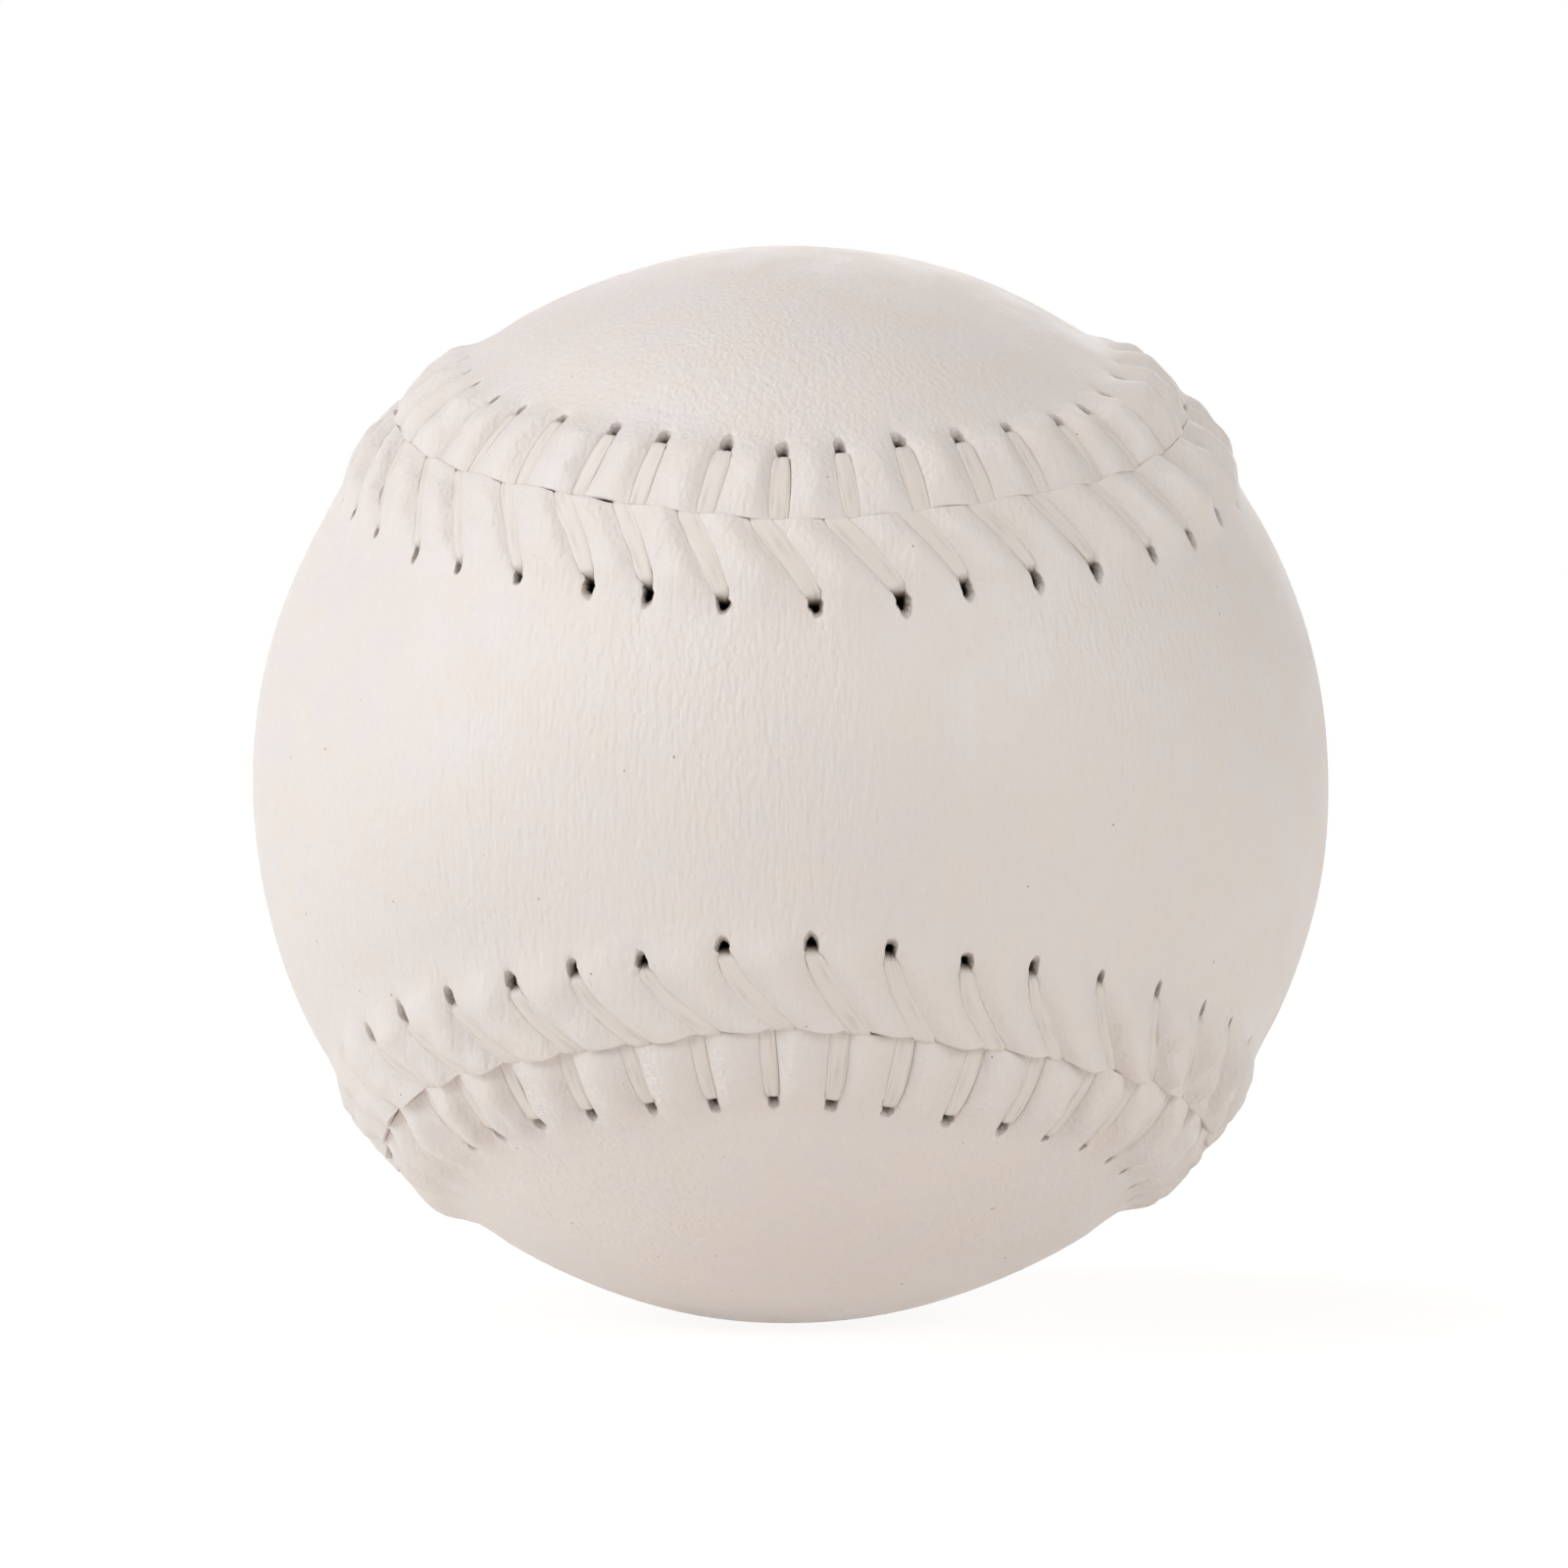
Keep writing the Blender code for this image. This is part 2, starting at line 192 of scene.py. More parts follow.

# Threads
THREAD_PRESS = 0.06 * MM  # how far a thread's edge sinks into the leather
THREAD_SLIP = 0.16 * MM  # how far a thread may lie aside, which opens a crack
SLIP_AT_SEAM = 0.5  # most of a slip that may lie at the seam
RIBBON = 0.34 * MM  # thickness of a thread where it lies flat
UNDER_THREAD = 0.62 * MM  # and under the cover
UNDER_RADIUS = COAT_RADIUS + UNDER_THREAD
BAND_INSIDE = UNDER_RADIUS + UNDER_THREAD
UNDER_SHARES = np.array([[0.2], [0.5], [0.8]])
THREAD_ENTER = 0.8  # half lengths of the hole from its middle to where a thread comes up
RUN_FROM = 0.35 * MM  # from there to where it lies flat
RUN_TO = 0.45 * MM  # from where it lies flat to where it goes down
OVER_SECTIONS = 16  # sections where it lies flat
# Where it comes up and goes down: millimetres aside and down, or None for the bottom, and soil with painted
# shade, darker deeper down
HOLE_BEND = ((0.30, None, 1.0), (0.30, 0.95, 1.0), (0.22, 0.5, 0.7), (0.06, 0.18, 0.3), (-0.14, 0.04, 0.05))
SEAM_BEND = ((0.20, 0.04, 0.0), (0.06, 0.18, 0.05), (0.0, 0.5, 0.4), (0.0, 1.0, 0.9), (0.0, None, 1.0))
HOLE_BEND_WIDTH = 0.92  # shares of the flat width and thickness
HOLE_BEND_THICK = 1.1
SEAM_BEND_WIDTH = 1.08
FRONT_OVERRUN = 0.30 * MM  # how far front threads reach over the edge at the lower seam
SECTION_POINTS = 28
SECTION_POWER = 0.55  # 1 is oval, less is squarer
STRANDS = 3
STRAND_LAY = 14 * MM  # run in which the strands shift by one
STRAND_VALLEY = 0.35  # depth of the valleys between them, of the half thickness
STRAND_SHADE = 0.16  # painted shade in them
EDGE_SHADE_AND_SOIL = 0.4  # soil and painted shade at a thread's edge beside a crack
EDGE_SHADE_AND_SOIL_POWER = 12  # how near the edge it stays
UV_LENGTH = 10 * MM

# Fineness of the meshes
GROOVE_COLUMNS = (0.35, 0.7, 0.9, 1.0, 1.1, 1.3)  # in half widths of the groove
PILLOW_COLUMNS = (0.14, 0.32, 0.55, 0.78)  # of the way from there to the pillow's middle
GROOVE_MIDDLE = len(GROOVE_COLUMNS) + len(PILLOW_COLUMNS)  # number of the groove's middle column
COLUMNS_EACH = 2 * GROOVE_MIDDLE + 2  # of a stitch with one pillow's middle
GROOVE_MIDDLES = [COLUMNS_EACH * stitch + GROOVE_MIDDLE for stitch in range(STITCHES)]
NEAR_GROOVE = 0.28  # where a groove's columns meet the edge, of the way to the pillow's middle
NEAR_PILLOW = 0.37  # and from where on the pillow's do
HOLE_COLUMN = 4  # groove column that is the hole's side
EDGE_ROWS = (0, 0.01, 0.024, 0.042, 0.066, 0.1, 0.14, 0.19, 0.25, 0.32, 0.39,
             0.47, 0.55, 0.63, 0.71, 0.79, 0.86, 0.92, 0.965)  # of the way from the edge to the hole
HOLE_ROWS = 11
HOLE_FIRST = len(EDGE_ROWS)
HOLE_LAST = HOLE_FIRST + HOLE_ROWS - 1
RIM_ROWS = (0.12, 0.28, 0.5, 0.75, 1.0)  # of the way from the hole to the rim
SKIN_MESH = (352, 16)  # columns and rings
LINING_MESH = (88, 4)
SPINE_REACH = radians(110)

rng = np.random.default_rng(SEED)
ROUND = 2 * pi * np.arange(STITCHES) / STITCHES


def each(low, high):
    """A random number for each stitch."""
    return rng.uniform(low, high, STITCHES)


def blend(first, second, share):
    return first + (second - first) * share


def smooth(start, end, value):
    """0 before start, 1 after end, eased between them."""
    share = np.clip((value - start) / (end - start), 0, 1)
    return share * share * (3 - 2 * share)


def unit(vectors):
    return vectors / np.linalg.norm(vectors, axis=-1, keepdims=True)


def round_seam(terms, turn=ROUND):
    """Sum of waves round the seam, at angles that go once round it, or for each stitch."""
    return sum(size * np.cos(number * turn - phase) for number, size, phase in terms)


class Ripples:
    """Smooth noise about 0, of one size in metres: a sum of plane waves in random directions."""

    def __init__(self, size):
        directions = unit(rng.normal(size=(RIPPLES, 3)))
        self.pull = directions * (2 * pi / size) * rng.uniform(*RIPPLE_SPREAD, (RIPPLES, 1))
        self.phase = rng.uniform(0, 2 * pi, RIPPLES)

    def __call__(self, points):
        return np.cos(points @ self.pull.T + self.phase).sum(axis=-1) * sqrt(2 / RIPPLES)


def line_frame(points):
    """Steps between the points of a closed line, and its directions ahead and towards the front panel."""
    step = np.linalg.norm(np.roll(points, -1, axis=0) - points, axis=1)
    ahead = unit(np.roll(points, -1, axis=0) - np.roll(points, 1, axis=0))
    return step, ahead, np.cross(points, ahead)


class Seam:
    """The seam line on the sphere."""

    def __init__(self):
        turn = np.linspace(0, 4 * pi, SEAM_SAMPLES, endpoint=False)
        lat = (pi / 2 - WAIST_HALF_ANGLE) * np.cos(turn)
        lon = turn / 2 + SEAM_SWAY * np.sin(2 * turn)
        points = np.stack([-np.cos(lat) * np.sin(lon), -np.sin(lat), np.cos(lat) * np.cos(lon)], axis=1)
        step, _, sides = line_frame(points)
        wander = round_seam(SEAM_WANDER, 2 * pi * np.cumsum(step) / step.sum()) / PANEL_RADIUS
        points = points * np.cos(wander)[:, None] + sides * np.sin(wander)[:, None]
        step, ahead, sides = line_frame(points)
        turning = np.roll(ahead, -1, axis=0) - np.roll(ahead, 1, axis=0)
        bend = (turning * sides).sum(axis=1) / (step + np.roll(step, 1))
        table = np.column_stack([points, sides, bend])
        self.table = np.vstack([table, table[:1]])
        self.arc = np.concatenate([[0.0], np.cumsum(step)])
        self.length = self.arc[-1] * PANEL_RADIUS

    def at(self, along):
        """Direction of the seam there, the direction beside it towards the front panel, and its bend."""
        place = (along / PANEL_RADIUS) % self.arc[-1]
        columns = [np.interp(place, self.arc, column) for column in self.table.T]
        return unit(np.stack(columns[:3], axis=-1)), unit(np.stack(columns[3:6], axis=-1)), columns[6]


seam = Seam()
PITCH = seam.length / STITCHES


def lowness(along):
    """1 at the seam below the front panel's waist, 0 at the one above it."""
    return 0.5 - 0.5 * np.cos(2 * pi * along / seam.length)


def leftness(along):
    """1 at the left end of that waist, 0 at the right one."""
    return 0.5 + 0.5 * np.sin(2 * pi * along / seam.length)


def gather(along):
    """1 where the leather is gathered most, 0 in the middle of a waist."""
    quarter = STITCHES / 4
    from_waist = np.abs((along / PITCH + quarter / 2) % quarter - quarter / 2)
    kept = 1 - GATHER_LOSS * smooth(GATHER_LESS, quarter / 2, from_waist)
    return smooth(GATHER_FROM, GATHER_FULL, from_waist) * kept


def closing(along):
    """1 where gathers close grooves and holes: at the left of the upper seam, the right of the lower one."""
    return gather(along) * (0.5 + 0.5 * np.sin(4 * pi * along / seam.length))


class Stitching:
    """What both panels share at the seam: where the stitches cross it and how it swings between them."""

    def __init__(self):
        drift = STITCH_START + round_seam(STITCH_DRIFT)
        self.knot = (np.arange(STITCHES) + drift + each(*KNOT_JITTER)) * PITCH
        self.scallop = blend(*SCALLOP, lowness(self.knot)) * each(*SCALLOPS)
        self.skew = each(*SCALLOP_SKEWS)
        # Gathers that have got less shut the seam all the same
        shut = GAPE_SHUT * np.minimum(gather(self.knot) / (1 - GATHER_LOSS), 1)
        self.openness = each(0, 1) ** GAPE_POWER * (1 - shut)
        self.gape_at = each(*GAPE_PLACES)

    def between(self, along):
        """The stitch before a place on the seam, and the share of the way from it to the next one."""
        knots = np.append(self.knot, self.knot[0] + seam.length)
        wrapped = (along - knots[0]) % seam.length + knots[0]
        before = np.clip(np.searchsorted(knots, wrapped, side="right") - 1, 0, STITCHES - 1)
        return before, (wrapped - knots[before]) / (knots[before + 1] - knots[before])

    def seam_shift(self, along):
        """How far the seam line lies from its middle, towards the front panel."""
        before, share = self.between(along)
        return -self.scallop[before] * np.sin(pi * share ** self.skew[before]) ** 2

    def half_gap(self, along):
        before, share = self.between(along)
        open_here = np.exp(-((share - self.gape_at[before]) / GAPE_LENGTH) ** 2) * np.sin(pi * share)
        return (SEAM_GAP + SEAM_GAPE * self.openness[before] * open_here) / 2

    def lip(self, along):
        """Drop of the panels' edges, which runs smoothly from one opening of the seam to the next."""
        before, share = self.between(along)
        beside = np.where(share < 0.5, before - 1, before + 1) % STITCHES
        return LIP + LIP_OPEN * blend(self.openness[before], self.openness[beside], np.abs(share - 0.5))


stitching = Stitching()


class Side:
    """One panel's side of the seam: +1 is the front panel, -1 the rear one."""

    def __init__(self, sign, slant, inset, groove):
        self.sign = sign
        self.groove_halves = np.array(groove) * MM
        self.dive = stitching.knot + sign * DIVE_STEP / 2 * PITCH
        low = lowness(self.dive)
        gathered = gather(self.dive)
        closed = closing(self.dive)
        self.hole = self.dive - (slant + each(*HOLE_JITTER)) * PITCH
        self.inset = inset + each(*INSET_JITTER)
        self.half = HOLE_HALF_LENGTH[sign] * each(*HOLE_LENGTHS) * (1 - HOLE_SHORTER * closed)
        self.bow = BOW + BOW_LOWER * low + each(*BOWS)
        self.width = each(*GROOVE_WIDTHS) * (1 - GATHER_CLOSE * closed)
        self.squeeze = GATHER_SQUEEZE * (gathered - closed)
        self.puff = each(*PUFFS)
        self.lean = each(*LEANS)
        self.crease = each(*CREASES) * (low ** 2 * leftness(self.dive) if sign < 0 else 0.0)
        self.crack = 1 - 2 * self.crack_ahead(self.dive)  # 1 for cracks behind, -1 ahead
        self.loose = 1 - blend(*CRACK_LESS, low) * gathered  # what stays open of them
        self.slip = each(*SLIPS) * THREAD_SLIP * self.crack * self.loose
        self.slip_at_seam = SLIP_AT_SEAM * each(0, 1) ** 2 * low
        # how dark each stitch's cracks and thread edge are: soil and painted shade
        self.soil_and_shade = each(0, 1) ** 2
        self.lump = Ripples(LUMP_SIZE)
        self.fold = Ripples(FOLD_SIZE)
        self.ragged = Ripples(RAGGED_SIZE)
        # soil and painted shade of the hole walls, less in the gathers
        self.hole_soil_and_shade = each(*HOLE_SOILS_AND_SHADES) * (1 - HOLE_SOIL_AND_SHADE_LESS * gathered)
        if sign < 0:
            self.hole_soil_and_shade *= blend(HOLE_SOIL_AND_SHADE_UPPER, 1, low)
        self.pucker = Ripples(PUCKER_SIZE)

    def crack_ahead(self, along):
        """1 where cracks open ahead of threads, 0 behind: towards the waist, in the rear to the right."""
        if self.sign < 0:
            return lowness(along)
        return smooth(CRACK_TURN, -CRACK_TURN, np.sin(4 * pi * along / seam.length))

    def place(self, along, inset, radius):
        """Points at distances along the seam, insets from it and distances from the centre."""
        base, beside, _ = seam.at(along)
        angle = self.sign * np.asarray(inset) / PANEL_RADIUS
        direction = base * np.cos(angle)[..., None] + beside * np.sin(angle)[..., None]
        return direction * np.asarray(radius)[..., None]

    def stretch(self, along, inset):
        """Real length beside the seam for each metre along it."""
        angle = inset / PANEL_RADIUS
        return np.cos(angle) - self.sign * seam.at(along)[2] * np.sin(angle)

    def line(self, stitch, inset):
        """Where along the seam the middle of a stitch's groove lies, at an inset."""
        turns, stitch = np.divmod(stitch, STITCHES)
        left = np.maximum(1 - inset / self.inset[stitch], 0) ** self.bow[stitch]
        return turns * seam.length + blend(self.hole[stitch], self.dive[stitch], left)

    def groove_half(self, stitch, inset):
        share = inset / self.inset[stitch]
        squeezed = 1 - self.squeeze[stitch] * smooth(*SQUEEZE_END, share)
        return np.interp(share, GROOVE_SHARES, self.groove_halves) * self.width[stitch] * squeezed

    def slipped(self, stitch, inset):
        """How far a thread lies off the middle of its groove."""
        share = np.clip(inset / self.inset[stitch], 0, 1)
        at_seam = self.slip_at_seam[stitch]
        return self.slip[stitch] * blend(at_seam, 1 - at_seam, share)

    def edge(self, along):
        """Inset of the panel's edge, with its bites at the threads."""
        before, _ = stitching.between(along)
        reach = np.inf
        for step in (-1, 0, 1):
            apart = (along - self.dive[(before + step) % STITCHES] + seam.length / 2) % seam.length
            reach = np.minimum(reach, np.abs(apart - seam.length / 2))
        deep = NOTCH * lowness(along) * (1 - NOTCH_LESS * gather(along))
        notch = deep * np.exp(-(reach / NOTCH_HALF) ** 4)
        return self.sign * stitching.seam_shift(along) + stitching.half_gap(along) + notch

    def ridge(self, along, inset):
        """Height of the raised leather beside a groove."""
        dip = 1 - RIDGE_DIP * smooth(SEAM_REACH, 0, inset)
        rise = RIDGE * smooth(BAND_WIDTH, RIDGE_INSET, inset) * dip
        over = blend(*OVERHANG, lowness(along)) * (1 - OVERHANG_LESS * gather(along))
        return rise + self.sign * over * np.exp(-(inset / SEAM_REACH) ** 2)


FRONT = Side(1, FRONT_SLANT + round_seam(FRONT_SLANT_WAVES),
             HOLE_INSET + round_seam(FRONT_INSET_WAVES), FRONT_GROOVE)
REAR = Side(-1, REAR_SLANT, HOLE_INSET + round_seam(REAR_INSET_WAVES), REAR_GROOVE)
skin_ripples = Ripples(SKIN_RIPPLE_SIZE)


class Shape:
    """Vertices, each with its soil and painted shade and its crease, and faces, gathered for one mesh."""

    def __init__(self):
        self.points = []
        self.marks = {"soil_and_shade": [], "crease": []}
        self.faces = []
        self.count = 0

    def add(self, points, soil_and_shade=0.0, crease=0.0):
        """Adds an array of points and returns their numbers in the same layout."""
        layout = points.shape[:-1]
        numbers = self.count + np.arange(np.prod(layout)).reshape(layout)
        self.count += numbers.size
        self.points.append(points.reshape(-1, 3))
        for mark, value in (("soil_and_shade", soil_and_shade), ("crease", crease)):
            self.marks[mark].append(np.broadcast_to(value, layout).reshape(-1))
        return numbers

    def strips(self, rows, keep=None):
        """Quads between closed rows of equal length."""
        ahead = np.roll(rows, -1, axis=1)
        quads = np.stack([rows[:-1], ahead[:-1], ahead[1:], rows[1:]], axis=-1)
        self.faces += (quads.reshape(-1, 4) if keep is None else quads[keep]).tolist()

    def bridge(self, first, first_along, second, second_along):
        """Triangles between two closed rows of unlike length, each with its distances along the seam."""
        start = int(np.argmin(np.abs(second_along - first_along[0])))
        first = np.append(first, first[0]).tolist()
        second = np.append(np.roll(second, -start), second[start]).tolist()
        first_next = np.append(first_along[1:], [first_along[0] + seam.length, np.inf])
        later = second_along[:start + 1] + seam.length
        second_next = np.concatenate([second_along[start + 1:], later, [np.inf]])
        i = j = 0
        while i + j < len(first) + len(second) - 2:
            use_first = first_next[i] <= second_next[j]
            self.faces.append([first[i], first[i + 1] if use_first else second[j + 1], second[j]])
            i, j = (i + 1, j) if use_first else (i, j + 1)

    def build(self, name, material, uv=None):
        """An object of the mesh, with all its faces turned outwards."""
        mesh = bpy.data.meshes.new(name)
        mesh.from_pydata(np.concatenate(self.points), [], self.faces)
        for mark, values in self.marks.items():
            mesh.attributes.new(mark, "FLOAT", "POINT").data.foreach_set("value", np.concatenate(values))
        if uv is not None:
            corners = np.zeros(len(mesh.loops), int)
            mesh.loops.foreach_get("vertex_index", corners)
            mesh.uv_layers.new(name="run").data.foreach_set("uv", uv[corners].ravel())
        mesh.shade_smooth()
        mesh.materials.append(material)
        turned = bmesh.new()
        turned.from_mesh(mesh)
        bmesh.ops.recalc_face_normals(turned, faces=turned.faces)
        turned.to_mesh(mesh)
        turned.free()
        return linked(name, mesh)


def linked(name, data):
    """A new object in the scene."""
    item = bpy.data.objects.new(name, data)
    bpy.context.scene.collection.objects.link(item)
    return item


def band(shape, side):
    """The raised leather: rows from the edge to the rim, grooves, holes and pillows."""
    number = np.arange(COLUMNS_EACH) - GROOVE_MIDDLE
    lean = np.sign(number)
    in_groove = np.abs(number) <= len(GROOVE_COLUMNS)
    factor = np.array([0.0, *GROOVE_COLUMNS, *PILLOW_COLUMNS, 1.0])[np.abs(number)]
    nearness = np.where(in_groove, factor * NEAR_GROOVE, blend(NEAR_PILLOW, 1, factor))
    stitch = np.arange(STITCHES)[:, None]
    neighbour = stitch + np.where(lean < 0, -1, 1)

    def mixed(values):
        return blend(values[stitch], values[neighbour % STITCHES], nearness / 2)

    middle_inset = mixed(side.inset)
    half = mixed(side.half)
    edge = side.edge(side.line(stitch, 0) + lean * nearness * PITCH / 2)
    rows = [blend(edge, middle_inset - half, share) for share in EDGE_ROWS]
    rows += [middle_inset + turn * half for turn in np.linspace(-1, 1, HOLE_ROWS)]
    rows += [blend(middle_inset + half, BAND_WIDTH, share) for share in RIM_ROWS]
    inset = np.stack(rows)

    middle = side.line(stitch, inset)
    room = np.abs(side.line(neighbour, inset) - middle) / 2
    width = side.groove_half(stitch, inset) / side.stretch(middle, inset)
    across = lean * np.where(in_groove, factor * width, blend(GROOVE_COLUMNS[-1] * width, room, factor))

    # Round the corners of the holes and let that die away outside them
    u = across / width
    t = (inset - middle_inset) / half
    at_hole = 1 - smooth(1.0, HOLE_FADE, np.maximum(np.abs(u), np.abs(t)))
    rounding = HOLE_ROUNDING * at_hole / 2
    rough = side.place(middle + across, inset, PANEL_RADIUS)
    uneven = 1 + HOLE_RAGGED * at_hole * side.ragged(rough)
    across = across * np.sqrt(1 - rounding * np.minimum(t * t, 1)) * uneven
    inset = middle_inset + half * t * np.sqrt(1 - rounding * np.minimum(u * u, 1)) * uneven
    along = side.line(stitch, inset) + across

    height, soil_and_shade, crease = band_height(side, stitch, neighbour, along, inset, across, width, room, edge, t)
    points = side.place(along, inset, PANEL_RADIUS + height)
    layout = (len(points), STITCHES * COLUMNS_EACH)
    grid = shape.add(points.reshape(*layout, 3), soil_and_shade.reshape(layout), crease.reshape(layout))
    return grid, along.reshape(layout)


def band_height(side, stitch, neighbour, along, inset, across, width, room, edge, t):
    """Height of the leather above the smooth sphere, how soiled and painted with shade, and how creased it
    is.
    """
    off = np.abs(across)
    u = off / width
    from_edge = np.maximum(inset - edge, 0)
    pillow = np.where(across > 0, stitch, neighbour) % STITCHES
    flat = side.place(along, inset, PANEL_RADIUS)
    low = lowness(along)
    left = leftness(along)
    gathered = gather(along)
    crack = side.crack_ahead(along)

    # Pillows, with their tops off the middle
    rise = np.clip((off - width) / (room - width), 0, 1)
    share = np.where(across > 0, rise / 2, 1 - rise / 2)
    top = 0.5 - PILLOW_LEAN * side.lean[pillow]
    start = blend(*CROWN, np.where(share < top, crack, 1 - crack))
    crown = np.sin(pi / 2 * np.where(share < top, share / top, (1 - share) / (1 - top))) ** start
    fall = EDGE_FALL_UPPER * (1 - low) + (EDGE_FALL_REAR * low if side.sign < 0 else 0)
    fade = smooth(PILLOW_END, PILLOW_FULL, inset) * (1 - fall * smooth(EDGE_FALL_REACH, 0, from_edge))
    full = 1 + (FULLER_RIGHT + FULLER_UPPER * (1 - low)) * (1 - 2 * left)
    plain = PILLOW * (1 + PILLOW_REAR * low) if side.sign < 0 else PILLOW
    height = side.ridge(along, inset) + (plain + GATHER * gathered * full) * side.puff[pillow] * crown * fade
    height += (LUMP + LUMP_GATHERED * gathered) * side.lump(flat) * fade
    unrolled = np.stack([along, inset / PUCKER_LONG, np.zeros(along.shape)], axis=-1)
    puckered = gathered * blend(PUCKER_LEAST, 1, low * (1 - left))
    height += PUCKER * puckered * side.pucker(unrolled) * crown * fade
    crease = side.crease[pillow] * crown * fade * smooth(*CREASE_END, share)
    height += FOLD * side.fold(flat) * crease

    # Grooves, edges and the dents round the holes
    in_groove = (1 - smooth(*GROOVE_SIDE, u)) * (1 - smooth(*GROOVE_END, t))
    height -= (GROOVE + GROOVE_DEEPER * smooth(*GROOVE_DEEPER_AT, inset)) * in_groove
    height -= stitching.lip(along) * np.exp(-from_edge / LIP_REACH)
    aside = off * side.stretch(along, inset) / DIMPLE_WIDTH
    height -= DIMPLE * np.exp(-aside ** 2 - np.maximum(np.abs(t) - DIMPLE_FLAT, 0) ** 2)

    # Soil and painted shade in the cracks on one side of the threads, and painted shade in the valleys beside
    # them
    open_here = np.where(across > 0, crack, 1 - crack) * side.loose[stitch] * in_groove
    dirt_and_shade = CRACK_SHADE_AND_SOIL * blend(CRACK_SHADE_AND_SOIL_LEAST, 1, side.soil_and_shade[stitch])
    soil_and_shade = dirt_and_shade * open_here * smooth(*CRACK_SIDE, u) + VALLEY_SHADE * (1 - crown) * fade
    return height, soil_and_shade, crease


def hole_rings(grid):
    """Numbers of the vertices round each hole, from the seam side onwards, ahead first."""
    rings = []
    for middle in GROOVE_MIDDLES:
        block = grid[HOLE_FIRST:HOLE_LAST + 1, middle - HOLE_COLUMN:middle + HOLE_COLUMN + 1]
        ring = [block[0, HOLE_COLUMN:], block[1:, -1], block[-1, -2::-1], block[-2::-1, 0],
                block[0, 1:HOLE_COLUMN]]
        rings.append(np.concatenate(ring))
    return np.array(rings)


def hole_walls(shape, rings, soiled_and_shaded):
    """Walls from the hole's mouth to the inside of the leather; the far one slopes towards the thread."""
    mouth = np.concatenate(shape.points)[rings]
    centre = mouth.mean(axis=1, keepdims=True)
    opposite = rings.shape[1] // 2
    towards_seam = mouth[:, :1] - mouth[:, opposite:opposite + 1]
    length = np.linalg.norm(towards_seam, axis=-1, keepdims=True)
    near = ((mouth - centre) * towards_seam / length ** 2).sum(axis=-1) + 0.5
    radius = np.linalg.norm(mouth, axis=-1, keepdims=True)
    rows = [rings]
    for share, narrowing, slope, far_soil_and_shade, near_soil_and_shade in HOLE_WALL:
        outline = centre + (mouth - centre) * narrowing + towards_seam * slope
        # soil and painted shade on the wall, darker deeper down
        soil_and_shade = blend(far_soil_and_shade, near_soil_and_shade, np.clip(near, 0, 1))
        rows.append(shape.add(unit(outline) * blend(radius, BAND_INSIDE, share), soil_and_shade * soiled_and_shaded))
    for ring in range(len(rings)):
        shape.strips(np.stack([row[ring] for row in rows[::-1]]))
    return rows[-1]


def edge_wall(shape, edge, along, side):
    """The cut edge of the leather, down to its inside, painted dark as shade deeper down and where the seam
    gapes.
    """
    radius = np.linalg.norm(np.concatenate(shape.points)[edge], axis=-1)
    insets = side.edge(along)
    opened = smooth(0, SEAM_OPEN, stitching.half_gap(along))
    rows = [edge]
    for share, closed_soil_and_shade, open_soil_and_shade in EDGE_WALL:
        wall = side.place(along, insets + EDGE_SLOPE * share, blend(radius, BAND_INSIDE, share))
        rows.append(shape.add(wall, blend(closed_soil_and_shade, open_soil_and_shade, opened)))
    shape.strips(np.stack(rows[::-1]))
    return rows[-1]


def lining(shape, side, edge, rings):
    """The inside of the raised leather, one face before and one behind each hole."""
    rim_along = side.line(np.arange(STITCHES), BAND_WIDTH)
    # the inside is painted fully dark, as shade
    rim = shape.add(side.place(rim_along, BAND_WIDTH, PANEL_RADIUS - LEATHER), 1)
    quarter = rings.shape[1] // 4
    for stitch, start in enumerate(GROOVE_MIDDLES):
        after = (stitch + 1) % STITCHES
        run = [edge[k % len(edge)] for k in range(start, start + COLUMNS_EACH + 1)]
        here, there = rings[stitch], rings[after]
        near = run + [there[0]] + list(there[:-quarter - 1:-1]) + list(here[quarter::-1])
        far = list(here[quarter:2 * quarter + 1]) + [rim[stitch], rim[after]]
        far += list(there[2 * quarter:3 * quarter + 1])
        shape.faces.append([int(v) for v in near[::-1]])
        shape.faces.append([int(v) for v in far[::-1]])
    return rim, rim_along


